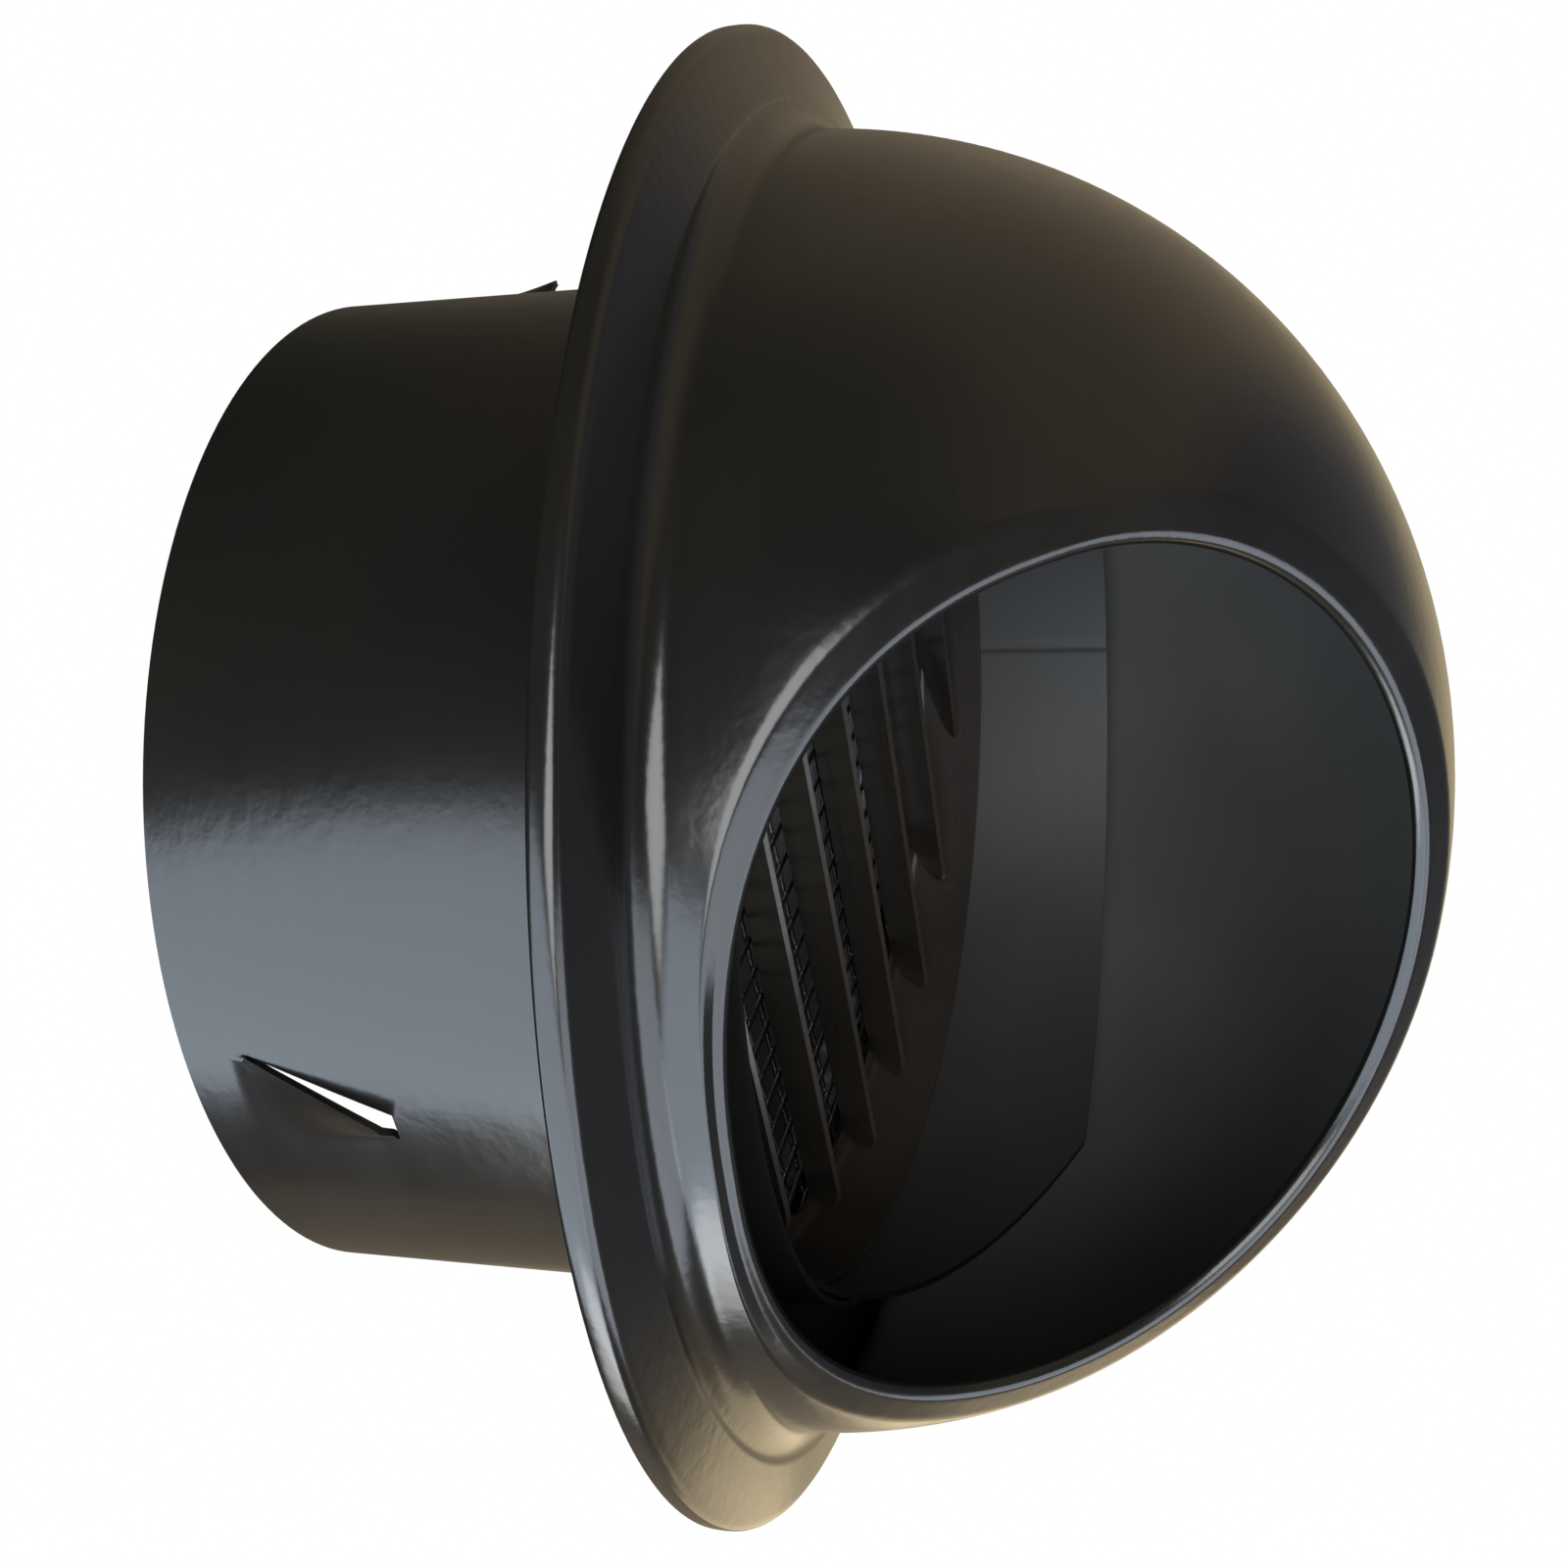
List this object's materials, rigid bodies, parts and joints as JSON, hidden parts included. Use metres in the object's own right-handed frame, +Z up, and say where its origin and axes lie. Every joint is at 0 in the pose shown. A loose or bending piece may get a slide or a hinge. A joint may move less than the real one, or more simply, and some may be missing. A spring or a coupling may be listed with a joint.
{
  "type": "hooded duct vent cover",
  "caption": "Round pressed-steel outside vent with a downward-facing hood, a duct spigot with spring barbs, fixed louvres and an insect screen.",
  "frame": {"origin": "on the spigot's axis, in the plane of the wall that the flange seats on", "axes": "+Y along the spigot into the wall, -Y out through the hood, +Z up as fitted, so the mouth faces down and forward"},
  "size_m": [0.14, 0.1032, 0.14],
  "materials": {
    "black_enamel": "satin-gloss black enamel",
    "tube_enamel": "satin-gloss black enamel",
    "plate_enamel": "satin black enamel",
    "louvre_enamel": "satin black enamel",
    "screen_wire": "darkened wire",
    "ring_steel": "satin",
    "gasket_foam": "matt foam"
  },
  "bodies": {
    "root": {"cowl": "black_enamel", "spigot_tube": "tube_enamel", "base_plate": "plate_enamel", "louvre_plate": "louvre_enamel", "insect_screen": "screen_wire", "screen_ring": "ring_steel", "wall_gasket": "gasket_foam"}
  },
  "joints": []
}
